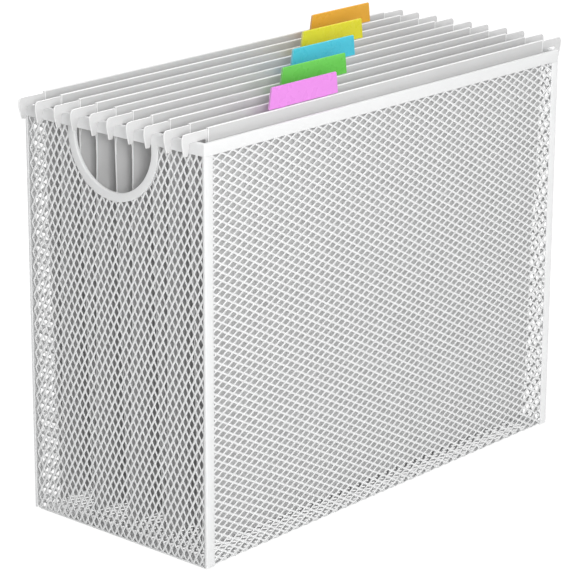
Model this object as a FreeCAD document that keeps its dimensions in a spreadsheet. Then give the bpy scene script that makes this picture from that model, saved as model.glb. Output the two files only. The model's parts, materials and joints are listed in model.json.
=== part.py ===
# Mesh hanging file box: an expanded-metal basket with a folded rim, flat corner strips and
# two half-round hand holes, carrying five hanging folders with hooked rails and coloured tabs.
# Frame: X along the long side, Y from the front face (-Y) to the back, Z up, millimetres.
# The origin is the middle of the floor's underside.
import FreeCAD, Part
import math
import os

import Sketcher

Vector = FreeCAD.Vector
doc = FreeCAD.newDocument("hanging_file_box")

# Driving sizes, one row each: name, value in mm (counts are plain numbers), what it measures
SIZES = [
    ("box_length", 320.0, "outside length of the box, along X"),
    ("box_width", 140.0, "outside width of the box, along Y"),
    ("box_height", 247.0, "floor underside to the top of the rim"),
    ("corner_bend", 2.0, "outside radius of rim and strips at the upright corners"),
    ("band_thick", 0.6, "sheet thickness of the rim, strips and hand-hole rings"),
    ("strand_thick", 0.5, "thickness of one layer of mesh strands"),
    ("strand_width", 1.9, "width of a mesh strand"),
    ("mesh_long_way", 14.1, "long diagonal of a mesh diamond"),
    ("mesh_short_way", 7.7, "short diagonal of a mesh diamond"),
    ("mesh_selvage", 1.0, "plain edge left round the strands"),
    ("smallest_gap", 9.0, "area in mm2 under which a gap of the mesh stays closed"),
    ("weld_gap", 0.1, "room between a mesh panel and the sheet that clamps it"),
    ("fold_radius", 3.0, "outside radius where the floor turns up into the walls"),
    ("fold_rise", 0.5, "straight lip above that bend"),
    ("fold_lip", 0.5, "flat lip inside that bend, at the long walls"),
    ("end_flange", 12.0, "flange of an end panel along the floor, from the box's end"),
    ("rim_height", 7.3, "height of the folded rim"),
    ("rim_bevel", 0.6, "bevel along the top of the rim"),
    ("strip_width", 7.8, "corner strip across the long face"),
    ("strip_return", 2.2, "corner strip round on the end face"),
    ("strip_foot", 1.2, "foot of the corner strip above the floor plane"),
    ("hand_radius", 30.0, "radius of the hand hole"),
    ("hand_drop", 2.4, "straight part of the hand hole under the rim"),
    ("hand_ring", 5.0, "width of the ring round the hand hole"),
    ("folder_count", 5, "hanging folders in the box"),
    ("rail_to_face", 6.8, "outermost rail from the outside of the long face"),
    ("folder_width", 302.0, "folder sheet along X"),
    ("rail_spread", 13.2, "distance between the two rails of one folder"),
    ("paper_thick", 0.35, "folder board"),
    ("crease_height", 6.5, "underside of the folder above the floor plane"),
    ("crease_radius", 1.2, "outside radius of the bottom fold of a folder"),
    ("leaf_gap", 0.3, "room between the bottom fold and a leaf"),
    ("rail_thick", 0.8, "thickness of a rail"),
    ("rail_height", 12.5, "height of a rail"),
    ("arm_height", 5.2, "height of the arm that crosses the rim"),
    ("seat_gap", 0.35, "room between the arm and the top of the rim"),
    ("hook_reach", 10.7, "end of the hook outside the box"),
    ("hook_gap", 4.9, "room between the finger and the box"),
    ("throat_inset", 10.5, "inner end of the throat, inside the box's end"),
    ("finger_draft_out", 1.8, "taper of the finger's outer edge"),
    ("finger_draft_in", 1.1, "taper of the finger's inner edge"),
    ("hook_round", 2.5, "outer corner of the hook"),
    ("throat_round", 1.0, "inner corner of the hook"),
    ("tip_bevel", 0.8, "bevelled corners at the tip of the finger"),
    ("hem_gap", 0.1, "room round the rail in its hem"),
    ("hem_below", 4.0, "hem tunnel below the rail, where the tab slots are"),
    ("hem_taper", 4.0, "height over which the hem closes on the sheet"),
    ("hem_glue", 6.0, "glued edge of the hem"),
    ("tab_first", 79.2, "middle of the first tab from the folder's left end"),
    ("tab_last", 58.8, "middle of the last tab from the folder's right end"),
    ("tab_width", 58.0, "tab across its lower edge"),
    ("tab_top_width", 54.4, "tab across its upper edge"),
    ("tab_height", 12.4, "height of the tab"),
    ("tab_rise", 0.4, "room between the hem and the tab"),
    ("tab_wall", 0.3, "plastic of the tab"),
    ("tab_room", 0.5, "space for the label inside the tab"),
    ("tab_round", 1.0, "upper corners of the tab"),
    ("tongue_width", 6.0, "width of a tab's tongue"),
    ("tongue_place", 18.0, "tongue from the middle of the tab"),
    ("tongue_hook", 1.2, "height of the hook on the tongue"),
    ("tongue_bite", 0.9, "reach of that hook through the slot"),
    ("slot_room", 0.5, "room round the tongue in its slot"),
    ("slot_depth", 2.0, "middle of the slot below the rail"),
    ("label_thick", 0.25, "label card"),
    ("label_inset", 1.0, "label card from the edge of the tab"),
]

sheet = doc.addObject("Spreadsheet::Sheet", "sizes")
for row, (alias, value, meaning) in enumerate(SIZES, 1):
    sheet.set("A%d" % row, alias)
    sheet.set("B%d" % row, str(value))
    sheet.set("C%d" % row, meaning)
    sheet.setAlias("B%d" % row, alias)
doc.recompute()


def size(alias):
    """A value of the sheet, in mm."""
    return float(sheet.get(alias))


# Sizes that several pieces share, as expressions for the sketches
RIM_DEPTH = "(2 * sizes.band_thick + 2 * sizes.weld_gap + 2 * sizes.strand_thick)"
RIM_UNDER = "(sizes.box_height - sizes.rim_height)"
MESH_INSET = "(sizes.band_thick + sizes.weld_gap)"
MESH_ROOM = "(2 * sizes.strand_thick + 2 * sizes.weld_gap)"
FOLD_TOP = "(sizes.fold_radius + sizes.fold_rise)"
MESH_THICK = "(2 * sizes.strand_thick)"
HAND_CENTRE = "(sizes.box_height - sizes.rim_height - sizes.hand_drop)"
HEM_ROOM = "(sizes.rail_thick + 2 * sizes.hem_gap)"
FLAP_INNER = "(sizes.crease_radius - 2 * sizes.paper_thick - %s)" % HEM_ROOM
TAB_THICK = "(2 * sizes.tab_wall + sizes.tab_room)"


def value_of(expression, owner=sheet):
    """The number that an expression on the sheet gives."""
    result = owner.evalExpression(expression)
    return float(result.Value) if hasattr(result, "Value") else float(result)


def formula(expression):
    """The value of an expression written with the sheet's names."""
    return value_of(expression.replace("sizes.", ""))


# Heights and slopes that place the folders
rim_depth = formula(RIM_DEPTH)
rim_under = formula(RIM_UNDER)
mesh_inset = formula(MESH_INSET)
mesh_thick = formula(MESH_THICK)
axis_height = size("crease_height") + size("crease_radius")
rail_top = size("box_height") + size("seat_gap") + size("arm_height")
rail_middle = rail_top - size("rail_height") / 2
rail_offset = size("crease_radius") - size("paper_thick") - formula(HEM_ROOM) / 2
rail_arm = math.hypot(size("rail_spread") / 2, rail_middle - axis_height)
rail_along = math.sqrt(rail_arm ** 2 - rail_offset ** 2)
folder_pitch = ((size("box_width") - 2 * size("rail_to_face") - size("rail_spread"))
                / max(size("folder_count") - 1, 1))
leaf_slope = (math.atan2(size("rail_spread") / 2, rail_middle - axis_height)
              - math.atan2(rail_offset, rail_along))
sheet_row = len(SIZES) + 1
sheet.set("A%d" % sheet_row, "rail_along")
sheet.set("B%d" % sheet_row, repr(rail_along))
sheet.set("C%d" % sheet_row, "bottom fold to the middle of the rail, along the leaf (worked out)")
sheet.setAlias("B%d" % sheet_row, "rail_along")
doc.recompute()


def new_body(label):
    """A body whose label names the node."""
    body = doc.addObject("PartDesign::Body", label)
    body.Label = label
    return body


def origin_plane(body, role):
    """One of a body's own origin planes."""
    return [item for item in body.Origin.OriginFeatures if item.Role == role][0]


def new_sketch(body, role, name, lift=None):
    """A sketch on an origin plane, moved along the plane's normal by an expression."""
    sketch = body.newObject("Sketcher::SketchObject", name)
    sketch.AttachmentSupport = [(origin_plane(body, role), "")]
    sketch.MapMode = "FlatFace"
    if lift:
        sketch.setExpression(".AttachmentOffset.Base.z", lift)
    return sketch


def pin_point(sketch, geometry, position, place):
    """Fixes a point of the sketch by two expressions."""
    for kind, expression in zip(("DistanceX", "DistanceY"), place):
        number = value_of(expression, sketch)
        index = sketch.addConstraint(
            Sketcher.Constraint(kind, -1, 1, geometry, position, number))
        sketch.setExpression("Constraints[%d]" % index, expression)


def outline(sketch, corners):
    """Closed outline through corners given as expressions. A corner may add an arc to the
    next one: its turn, "ccw" or "cw", and the arc's centre."""
    places = [Vector(value_of(c[0], sketch), value_of(c[1], sketch), 0) for c in corners]
    first = sketch.GeometryCount
    ends = []
    for i, corner in enumerate(corners):
        start, stop = places[i], places[(i + 1) % len(corners)]
        if len(corner) == 2:
            sketch.addGeometry(Part.LineSegment(start, stop), False)
            ends.append((1, 2))
            continue
        turn, centre_x, centre_y = corner[2:]
        centre = Vector(value_of(centre_x, sketch), value_of(centre_y, sketch), 0)
        if turn == "cw":
            start, stop = stop, start
        angles = [math.atan2(p.y - centre.y, p.x - centre.x) for p in (start, stop)]
        circle = Part.Circle(centre, Vector(0, 0, 1), (start - centre).Length)
        sketch.addGeometry(Part.ArcOfCircle(circle, angles[0], angles[1]), False)
        ends.append((1, 2) if turn == "ccw" else (2, 1))
        index = sketch.addConstraint(
            Sketcher.Constraint("DistanceY", -1, 1, first + i, 3, centre.y))
        sketch.setExpression("Constraints[%d]" % index, centre_y)
    for i in range(len(corners)):
        follower = (i + 1) % len(corners)
        sketch.addConstraint(Sketcher.Constraint(
            "Coincident", first + i, ends[i][1], first + follower, ends[follower][0]))
        pin_point(sketch, first + i, ends[i][0], corners[i][:2])


def rectangle(sketch, left, right, low, high):
    """Rectangle between four expressions."""
    outline(sketch, [(left, low), (right, low), (right, high), (left, high)])


def block(sketch, half_x, half_y):
    """Rectangle centred on the sketch's origin."""
    rectangle(sketch, "-" + half_x, half_x, "-" + half_y, half_y)


def rounded_block(sketch, half_x, half_y, radius):
    """Rectangle centred on the sketch's origin, with round corners."""
    side_x, side_y = "(%s - %s)" % (half_x, radius), "(%s - %s)" % (half_y, radius)
    outline(sketch, [
        (half_x, "-" + side_y), (half_x, side_y, "ccw", side_x, side_y),
        (side_x, half_y), ("-" + side_x, half_y, "ccw", "-" + side_x, side_y),
        ("-" + half_x, side_y), ("-" + half_x, "-" + side_y, "ccw", "-" + side_x, "-" + side_y),
        ("-" + side_x, "-" + half_y), (side_x, "-" + half_y, "ccw", side_x, "-" + side_y),
    ])


def extrude(body, kind, sketch, length, midplane=False, backwards=False):
    """Pad or pocket of a sketch, and a check that it changed the solid the right way."""
    before = body.Shape.Volume if body.Tip and not body.Shape.isNull() else 0.0
    feature = body.newObject("PartDesign::" + kind, sketch.Name + "_" + kind.lower())
    feature.Profile = sketch
    feature.setExpression("Length", length)
    feature.Midplane = midplane
    feature.Reversed = backwards
    doc.recompute()
    change = feature.Shape.Volume - before
    if change * (1 if kind == "Pad" else -1) <= 0:
        raise ValueError("%s of %s points away from the solid" % (kind, body.Label))
    return feature


def dress_edges(body, kind, amount, wanted):
    """Fillet or chamfer along the edges of the body's last feature that a test picks."""
    base = body.Tip
    names = ["Edge%d" % (i + 1) for i, edge in enumerate(base.Shape.Edges) if wanted(edge)]
    if not names:
        raise ValueError("no edge for a %s on %s" % (kind, body.Label))
    feature = body.newObject("PartDesign::" + kind, "%s_%s" % (body.Label, kind.lower()))
    feature.Base = (base, names)
    feature.setExpression("Radius" if kind == "Fillet" else "Size", amount)
    doc.recompute()
    return feature


def upright(edge, axis):
    """True for a straight edge along an axis."""
    if not isinstance(edge.Curve, Part.Line):
        return False
    return abs(abs(edge.tangentAt(edge.FirstParameter).dot(axis)) - 1) < 1e-6


def near(edge, *places):
    """True if the middle of an edge lies at one of the places; None leaves a value open."""
    middle = edge.CenterOfMass
    for place in places:
        gaps = [abs(a - b) for a, b in zip(middle, place) if b is not None]
        if max(gaps) < 0.01:
            return True
    return False


X_AXIS, Y_AXIS, Z_AXIS = Vector(1, 0, 0), Vector(0, 1, 0), Vector(0, 0, 1)


# The mesh: each panel is two layers of slanted strands that cross, held by a plain selvage
def box_face(left, right, low, high):
    """Flat rectangular face in the panel's own plane."""
    corners = [Vector(left, low), Vector(right, low), Vector(right, high), Vector(left, high)]
    return Part.Face(Part.makePolygon(corners + corners[:1]))


HIDDEN_SIDES = 12


def hand_face(radius, centre_height, top):
    """Face of a half-round hand hole that opens upwards. Its edge is hidden in the ring, so
    the half circle has a few straight sides, which touch it from outside."""
    reach = radius / math.cos(math.pi / HIDDEN_SIDES / 2)
    corners = [Vector(-radius, top)]
    for number in range(HIDDEN_SIDES):
        angle = math.pi * (1 + (number + 0.5) / HIDDEN_SIDES)
        corners.append(Vector(reach * math.cos(angle), centre_height + reach * math.sin(angle)))
    corners.append(Vector(radius, top))
    return Part.Face(Part.makePolygon(corners + corners[:1]))


def strand_layer(panel, window, direction):
    """One layer: the panel with a slanted gap between each two strands of the window."""
    long_way, short_way = direction
    run = math.hypot(long_way, short_way)
    pitch = abs(long_way * short_way) / run
    gap = pitch - size("strand_width")
    along = Vector(long_way / run, short_way / run)
    across = Vector(-along.y, along.x)
    middle = window.BoundBox.Center
    reach = window.BoundBox.DiagonalLength / 2
    gaps = []
    for number in range(-int(reach / pitch) - 1, int(reach / pitch) + 1):
        centre = middle + across * ((number + 0.5) * pitch)
        corners = [centre + along * (reach * a) + across * (gap / 2 * b)
                   for a, b in ((-1, -1), (1, -1), (1, 1), (-1, 1))]
        strip = Part.Face(Part.makePolygon(corners + corners[:1]))
        gaps += [face for face in window.common(strip).Faces if face.Area > size("smallest_gap")]
    wires = [panel.OuterWire] + [face.OuterWire for face in gaps]
    return Part.makeFace(wires, "Part::FaceMakerBullseye"), len(gaps)


def mesh_panel(label, panel, window, upright_diamonds, placement):
    """A mesh panel of two crossed layers, stood in its place."""
    long_way, short_way = size("mesh_long_way"), size("mesh_short_way")
    if upright_diamonds:
        long_way, short_way = short_way, long_way
    layers = []
    gap_count = 0
    for index, slant in enumerate((1, -1)):
        face, count = strand_layer(panel, window, (long_way, slant * short_way))
        face.translate(Vector(0, 0, index * size("strand_thick")))
        layers.append(face.extrude(Vector(0, 0, size("strand_thick"))))
        gap_count += count
    feature = doc.addObject("Part::Feature", label)
    feature.Label = label
    feature.Shape = Part.makeCompound(layers)
    feature.Placement = placement
    print(label, "gaps", gap_count)
    return feature


def long_wall_mesh(label, side):
    """Mesh of a long face; side is -1 at the front and 1 at the back."""
    half = size("box_length") / 2 - rim_depth
    low, high = formula(FOLD_TOP), size("box_height") - mesh_inset
    seen = size("box_length") / 2 - size("strip_width") + mesh_inset
    window = box_face(-seen, seen, low + size("mesh_selvage"), rim_under + mesh_inset)
    panel = box_face(-half, half, low, high)
    turn = FreeCAD.Rotation(X_AXIS, 90)
    middle = side * (size("box_width") / 2 - mesh_inset - mesh_thick / 2)
    base = Vector(0, middle + mesh_thick / 2, 0)
    return mesh_panel(label, panel, window, False, FreeCAD.Placement(base, turn))


def end_wall_mesh(label, side):
    """Mesh of an end face with its hand hole; side is -1 at the left and 1 at the right."""
    half = size("box_width") / 2 - rim_depth
    low, high = formula(FOLD_TOP), size("box_height") - mesh_inset
    seen = half - size("mesh_selvage")
    centre = formula(HAND_CENTRE)
    hole = size("hand_radius") + size("band_thick") + size("weld_gap")
    ring = size("hand_radius") + size("hand_ring") - mesh_inset
    window = box_face(-seen, seen, low + size("mesh_selvage"), rim_under + mesh_inset)
    window = window.cut(hand_face(ring, centre, high + 1))
    panel = box_face(-half, half, low, high).cut(hand_face(hole, centre, high + 1)).Faces[0]
    turn = FreeCAD.Rotation(Z_AXIS, 90) * FreeCAD.Rotation(X_AXIS, 90)
    middle = side * (size("box_length") / 2 - mesh_inset - mesh_thick / 2)
    base = Vector(middle - mesh_thick / 2, 0, 0)
    return mesh_panel(label, panel, window, True, FreeCAD.Placement(base, turn))


def floor_mesh(label):
    """Mesh of the floor, between the end flanges and the folds of the long walls."""
    half_x = size("box_length") / 2 - size("end_flange")
    half_y = size("box_width") / 2 - mesh_inset - size("fold_radius") - size("fold_lip")
    edge = size("mesh_selvage")
    panel = box_face(-half_x, half_x, -half_y, half_y)
    window = box_face(edge - half_x, half_x - edge, edge - half_y, half_y - edge)
    return mesh_panel(label, panel, window, False, FreeCAD.Placement())


def bend_section(sketch, half, side):
    """Section of the blank where it turns up, at a half width; side is -1 or 1."""
    outside, inside = ("ccw", "cw") if side > 0 else ("cw", "ccw")

    def across(inset):
        return "%d * (%s - %s)" % (side, half, inset)

    start = across("sizes.fold_radius")
    outline(sketch, [
        (start, "0", outside, start, "sizes.fold_radius"),
        (across("0"), "sizes.fold_radius"),
        (across("0"), FOLD_TOP),
        (across(MESH_THICK), FOLD_TOP),
        (across(MESH_THICK), "sizes.fold_radius", inside, start, "sizes.fold_radius"),
        (start, MESH_THICK),
    ])


def floor_fold(label):
    """The edge of the floor, where it turns up into the four walls: plain flanges along the
    ends and narrow lips at the long walls. Each bend ends short of its corner."""
    body = new_body(label)
    half_x = "(sizes.box_length / 2 - %s)" % MESH_INSET
    half_y = "(sizes.box_width / 2 - %s)" % MESH_INSET
    frame = new_sketch(body, "XY_Plane", "fold_frame")
    block(frame, "(%s - sizes.fold_radius)" % half_x, "(%s - sizes.fold_radius)" % half_y)
    block(frame, "(sizes.box_length / 2 - sizes.end_flange)",
          "(%s - sizes.fold_radius - sizes.fold_lip)" % half_y)
    extrude(body, "Pad", frame, MESH_THICK)
    for plane, half, along in (("YZ_Plane", half_y, half_x), ("XZ_Plane", half_x, half_y)):
        bends = new_sketch(body, plane, "fold_bends_" + plane[:2])
        bend_section(bends, half, -1)
        bend_section(bends, half, 1)
        extrude(body, "Pad", bends, "2 * (%s - sizes.fold_radius)" % along, midplane=True)
    return body


def rim(label):
    """The rim: one sheet folded over the top of the mesh and bent round the four corners."""
    body = new_body(label)
    half_x, half_y = "(sizes.box_length / 2)", "(sizes.box_width / 2)"
    outer = new_sketch(body, "XY_Plane", "rim_outer", RIM_UNDER)
    rounded_block(outer, half_x, half_y, "sizes.corner_bend")
    block(outer, "(%s - %s)" % (half_x, RIM_DEPTH), "(%s - %s)" % (half_y, RIM_DEPTH))
    extrude(body, "Pad", outer, "sizes.rim_height")
    top = size("box_height")
    dress_edges(body, "Chamfer", "sizes.rim_bevel",
                lambda edge: near(edge, (None, None, top)) and edge.BoundBox.ZLength < 0.01)
    groove = new_sketch(body, "XY_Plane", "rim_groove", RIM_UNDER)
    sheet_x, sheet_y = ("(%s - sizes.band_thick)" % half for half in (half_x, half_y))
    rounded_block(groove, sheet_x, sheet_y, "(sizes.corner_bend - sizes.band_thick)")
    block(groove, "(%s - %s)" % (sheet_x, MESH_ROOM), "(%s - %s)" % (sheet_y, MESH_ROOM))
    extrude(body, "Pocket", groove, "sizes.rim_height - sizes.band_thick", backwards=True)
    return body


def corner_strip(label, side_x, side_y):
    """Flat strip up an end of a long face, bent round on the end face."""
    body = new_body(label)
    profile = new_sketch(body, "XY_Plane", label + "_profile", "sizes.strip_foot")

    def place(from_end, from_face):
        return ("%d * (sizes.box_length / 2 - %s)" % (side_x, from_end),
                "%d * (sizes.box_width / 2 - %s)" % (side_y, from_face))

    outline(profile, [place("0", "0"), place("sizes.strip_width", "0"),
                      place("sizes.strip_width", "sizes.band_thick"),
                      place("sizes.band_thick", "sizes.band_thick"),
                      place("sizes.band_thick", "sizes.strip_return"),
                      place("0", "sizes.strip_return")])
    extrude(body, "Pad", profile, "%s - sizes.strip_foot" % RIM_UNDER)
    end, face = side_x * size("box_length") / 2, side_y * size("box_width") / 2
    thick = size("band_thick")
    dress_edges(body, "Fillet", "sizes.corner_bend",
                lambda edge: upright(edge, Z_AXIS) and near(edge, (end, face, None)))
    inside = (end - side_x * thick, face - side_y * thick, None)
    dress_edges(body, "Fillet", "sizes.corner_bend - sizes.band_thick",
                lambda edge: upright(edge, Z_AXIS) and near(edge, inside))
    return body


def hand_band(sketch, inner, outer):
    """Half-round band between two radii, carried straight up to the rim."""
    outline(sketch, [
        ("-" + outer, RIM_UNDER),
        ("-" + outer, HAND_CENTRE, "ccw", "0", HAND_CENTRE),
        (outer, HAND_CENTRE),
        (outer, RIM_UNDER),
        (inner, RIM_UNDER),
        (inner, HAND_CENTRE, "cw", "0", HAND_CENTRE),
        ("-" + inner, HAND_CENTRE),
        ("-" + inner, RIM_UNDER),
    ])


def hand_ring(label, side):
    """Ring folded round the cut edge of the mesh at a hand hole."""
    body = new_body(label)
    ring_edge = "(sizes.hand_radius + sizes.hand_ring)"
    band = new_sketch(body, "YZ_Plane", label + "_band")
    hand_band(band, "sizes.hand_radius", ring_edge)
    extrude(body, "Pad", band, RIM_DEPTH, midplane=True)
    groove = new_sketch(body, "YZ_Plane", label + "_groove")
    hand_band(groove, "(sizes.hand_radius + sizes.band_thick)", ring_edge)
    extrude(body, "Pocket", groove, MESH_ROOM, midplane=True)
    body.Placement.Base = Vector(side * (size("box_length") / 2 - rim_depth / 2), 0, 0)
    return body


# The folders: the leaves are built upright over the bottom fold and then leant outwards
def leaf_placement(number, side, across=0.0, along=0.0):
    """Place of a piece on a leaf: side is -1 for the front leaf and 1 for the back one,
    across is outwards from the bottom fold's axis and along is up the leaf."""
    middle = (number - (size("folder_count") + 1) / 2) * folder_pitch
    turn = FreeCAD.Rotation(X_AXIS, -math.degrees(leaf_slope))
    if side < 0:
        turn = FreeCAD.Rotation(Z_AXIS, 180) * turn
    base = Vector(0, middle, axis_height) + turn.multVec(Vector(0, across, along))
    return FreeCAD.Placement(base, turn)


RAIL_TOP = "(sizes.rail_along + sizes.rail_height / 2)"
RAIL_FOOT = "(sizes.rail_along - sizes.rail_height / 2)"
HEM_TOP = "(%s + sizes.hem_gap)" % RAIL_TOP
HEM_LOW = "(%s - sizes.hem_below)" % RAIL_FOOT
HEM_SHUT = "(%s - sizes.hem_taper)" % HEM_LOW
SHEET_OUTER = "sizes.crease_radius"
SHEET_INNER = "(sizes.crease_radius - sizes.paper_thick)"
TUNNEL_INNER = "(%s - %s)" % (SHEET_INNER, HEM_ROOM)
HEM_MIDDLE = "(%s - %s / 2)" % (SHEET_INNER, HEM_ROOM)


def leaf(label, number, side):
    """A leaf of folder board: the sheet, and its hem folded in over the rail and glued."""
    body = new_body(label)
    profile = new_sketch(body, "YZ_Plane", label + "_profile")
    glued = "(sizes.crease_radius - 2 * sizes.paper_thick)"
    outline(profile, [
        (SHEET_INNER, "sizes.leaf_gap"),
        (SHEET_OUTER, "sizes.leaf_gap"),
        (SHEET_OUTER, HEM_TOP, "ccw", HEM_MIDDLE, HEM_TOP),
        (FLAP_INNER, HEM_TOP),
        (FLAP_INNER, HEM_LOW),
        (glued, HEM_SHUT),
        (glued, "(%s - sizes.hem_glue)" % HEM_SHUT),
        (SHEET_INNER, "(%s - sizes.hem_glue)" % HEM_SHUT),
    ])
    outline(profile, [
        (SHEET_INNER, HEM_SHUT),
        (SHEET_INNER, HEM_TOP, "ccw", HEM_MIDDLE, HEM_TOP),
        (TUNNEL_INNER, HEM_TOP),
        (TUNNEL_INNER, HEM_LOW),
    ])
    extrude(body, "Pad", profile, "sizes.folder_width", midplane=True)
    if side < 0:
        tab_slots(body, label)
    body.Placement = leaf_placement(number, side)
    return body


TAB_FIRST = "(sizes.folder_width / 2 - sizes.tab_first)"
TAB_ROW = "(sizes.folder_width - sizes.tab_first - sizes.tab_last)"
SLOT_MIDDLE = "(%s - sizes.slot_depth)" % RAIL_FOOT


def tab_slots(body, label):
    """Pairs of slots through the hem's inner flap, one pair at every place of a tab."""
    slots = new_sketch(body, "XZ_Plane", label + "_slots")
    half_height = "(sizes.tongue_hook / 2 + sizes.slot_room / 2)"
    half_width = "(sizes.tongue_width / 2 + sizes.slot_room)"
    for hand in ("-", "+"):
        middle = "(%s %s sizes.tongue_place)" % (TAB_FIRST, hand)
        rectangle(slots, "%s - %s" % (middle, half_width), "%s + %s" % (middle, half_width),
                  "%s - %s" % (SLOT_MIDDLE, half_height), "%s + %s" % (SLOT_MIDDLE, half_height))
    cut = extrude(body, "Pocket", slots, "sizes.crease_radius", backwards=True)
    pattern = body.newObject("PartDesign::LinearPattern", label + "_slot_row")
    pattern.Originals = [cut]
    pattern.Direction = (slots, ["H_Axis"])
    pattern.Reversed = True
    pattern.setExpression("Length", TAB_ROW)
    pattern.setExpression("Occurrences", "sizes.folder_count")
    body.Tip = pattern
    doc.recompute()


def crease(label, number):
    """The round bottom fold of a folder, which joins its two leaves."""
    body = new_body(label)
    profile = new_sketch(body, "YZ_Plane", label + "_profile")
    outline(profile, [
        ("-" + SHEET_OUTER, "0", "ccw", "0", "0"),
        (SHEET_OUTER, "0"),
        (SHEET_INNER, "0", "cw", "0", "0"),
        ("-" + SHEET_INNER, "0"),
    ])
    extrude(body, "Pad", profile, "sizes.folder_width", midplane=True)
    middle = (number - (size("folder_count") + 1) / 2) * folder_pitch
    body.Placement.Base = Vector(0, middle, axis_height)
    return body


def rail(label, number, side):
    """A rail: a flat strip with a hook at each end, which hangs over the rim."""
    body = new_body(label)
    profile = new_sketch(body, "XZ_Plane", label + "_profile")
    end = "(sizes.box_length / 2 + sizes.hook_reach)"
    throat = "(sizes.box_length / 2 - sizes.throat_inset)"
    finger = "(sizes.box_length / 2 + sizes.hook_gap)"
    top, foot = "(sizes.rail_height / 2)", "(-sizes.rail_height / 2)"
    under = "(sizes.rail_height / 2 - sizes.arm_height)"
    half = [(throat, foot), (throat, under), (finger, under),
            ("(%s + sizes.finger_draft_in)" % finger, foot),
            ("(%s - sizes.finger_draft_out)" % end, foot), (end, under), (end, top)]
    mirrored = [("-" + x, z) for x, z in reversed(half)]
    outline(profile, half + mirrored)
    extrude(body, "Pad", profile, "sizes.rail_thick", midplane=True)
    ends = size("box_length") / 2 + size("hook_reach")
    tops, feet = size("rail_height") / 2, -size("rail_height") / 2
    unders = tops - size("arm_height")
    fingers = size("box_length") / 2 + size("hook_gap")
    tips = (fingers + size("finger_draft_in"), ends - size("finger_draft_out"))

    def at_corner(edge, *corners):
        places = [(hand * x, None, z) for hand in (-1, 1) for x, z in corners]
        return upright(edge, Y_AXIS) and near(edge, *places)

    dress_edges(body, "Fillet", "sizes.hook_round", lambda edge: at_corner(edge, (ends, tops)))
    dress_edges(body, "Fillet", "sizes.throat_round",
                lambda edge: at_corner(edge, (fingers, unders)))
    dress_edges(body, "Chamfer", "sizes.tip_bevel",
                lambda edge: at_corner(edge, (tips[0], feet), (tips[1], feet)))
    body.Placement = leaf_placement(number, side, rail_offset, rail_along)
    return body


TAB_FOOT = "(%s + %s / 2 + sizes.paper_thick + sizes.tab_rise)" % (HEM_TOP, HEM_ROOM)
TAB_TOP = "(%s + sizes.tab_height)" % TAB_FOOT


def tab_outline(sketch, inset, foot, top):
    """Trapezium of a tab, in from its sloping sides by an expression."""
    lower = "(sizes.tab_width / 2 - %s)" % inset
    upper = "(sizes.tab_top_width / 2 - %s)" % inset
    outline(sketch, [("-" + lower, foot), (lower, foot), (upper, top), ("-" + upper, top)])


def tab(label, number):
    """Coloured plastic sleeve, folded at the top, with two tongues that hook into the hem."""
    body = new_body(label)
    face = new_sketch(body, "XZ_Plane", label + "_face")
    tab_outline(face, "0", TAB_FOOT, TAB_TOP)
    extrude(body, "Pad", face, TAB_THICK, midplane=True)
    top, half_top = formula(TAB_TOP), size("tab_top_width") / 2
    dress_edges(body, "Fillet", "sizes.tab_round", lambda edge: upright(edge, Y_AXIS) and near(
        edge, (half_top, None, top), (-half_top, None, top)))
    room = new_sketch(body, "XZ_Plane", label + "_room")
    rectangle(room, "-sizes.tab_width", "sizes.tab_width", "(%s - 1)" % TAB_FOOT,
              "(%s - sizes.tab_wall)" % TAB_TOP)
    extrude(body, "Pocket", room, "sizes.tab_room", midplane=True)
    back = "(%s / 2)" % TAB_THICK
    tongues = new_sketch(body, "XZ_Plane", label + "_tongues", back)
    hooks = new_sketch(body, "XZ_Plane", label + "_hooks", "%s - sizes.tab_wall / 2" % back)
    hook_low = "(%s - sizes.tongue_hook / 2)" % SLOT_MIDDLE
    hook_high = "(%s + sizes.tongue_hook / 2)" % SLOT_MIDDLE
    for hand in ("-1", "1"):
        left = "(%s * sizes.tongue_place - sizes.tongue_width / 2)" % hand
        right = "(%s * sizes.tongue_place + sizes.tongue_width / 2)" % hand
        rectangle(tongues, left, right, hook_low, "(%s + sizes.tab_wall)" % TAB_FOOT)
        rectangle(hooks, left, right, hook_low, hook_high)
    extrude(body, "Pad", tongues, "sizes.tab_wall", backwards=True)
    extrude(body, "Pad", hooks, "sizes.tongue_bite + sizes.tab_wall / 2", backwards=True)
    body.Placement = tab_placement(number)
    return body


def tab_placement(number):
    """Place of a tab: its tongues lie on the hem's flap, at the folder's own place in the row."""
    place = leaf_placement(number, -1, formula(FLAP_INNER) - size("weld_gap")
                           - size("tab_wall") + formula(TAB_THICK) / 2)
    step = formula(TAB_ROW) / max(size("folder_count") - 1, 1)
    place.Base.x = (number - 1) * step - formula(TAB_FIRST)
    return place


def label_card(label, number):
    """Blank card inside a tab."""
    body = new_body(label)
    face = new_sketch(body, "XZ_Plane", label + "_face")
    tab_outline(face, "sizes.label_inset", "(%s + sizes.weld_gap)" % TAB_FOOT,
                "(%s - sizes.tab_wall - sizes.weld_gap)" % TAB_TOP)
    extrude(body, "Pad", face, "sizes.label_thick", midplane=True)
    body.Placement = tab_placement(number)
    return body


# The box
pieces = [
    long_wall_mesh("mesh_front", -1),
    long_wall_mesh("mesh_back", 1),
    end_wall_mesh("mesh_left", -1),
    end_wall_mesh("mesh_right", 1),
    floor_mesh("mesh_floor"),
    floor_fold("floor_fold"),
    rim("rim"),
    hand_ring("hand_ring_left", -1),
    hand_ring("hand_ring_right", 1),
]
for name_y, side_y in (("front", -1), ("back", 1)):
    for name_x, side_x in (("left", -1), ("right", 1)):
        pieces.append(corner_strip("corner_strip_%s_%s" % (name_y, name_x), side_x, side_y))

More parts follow.
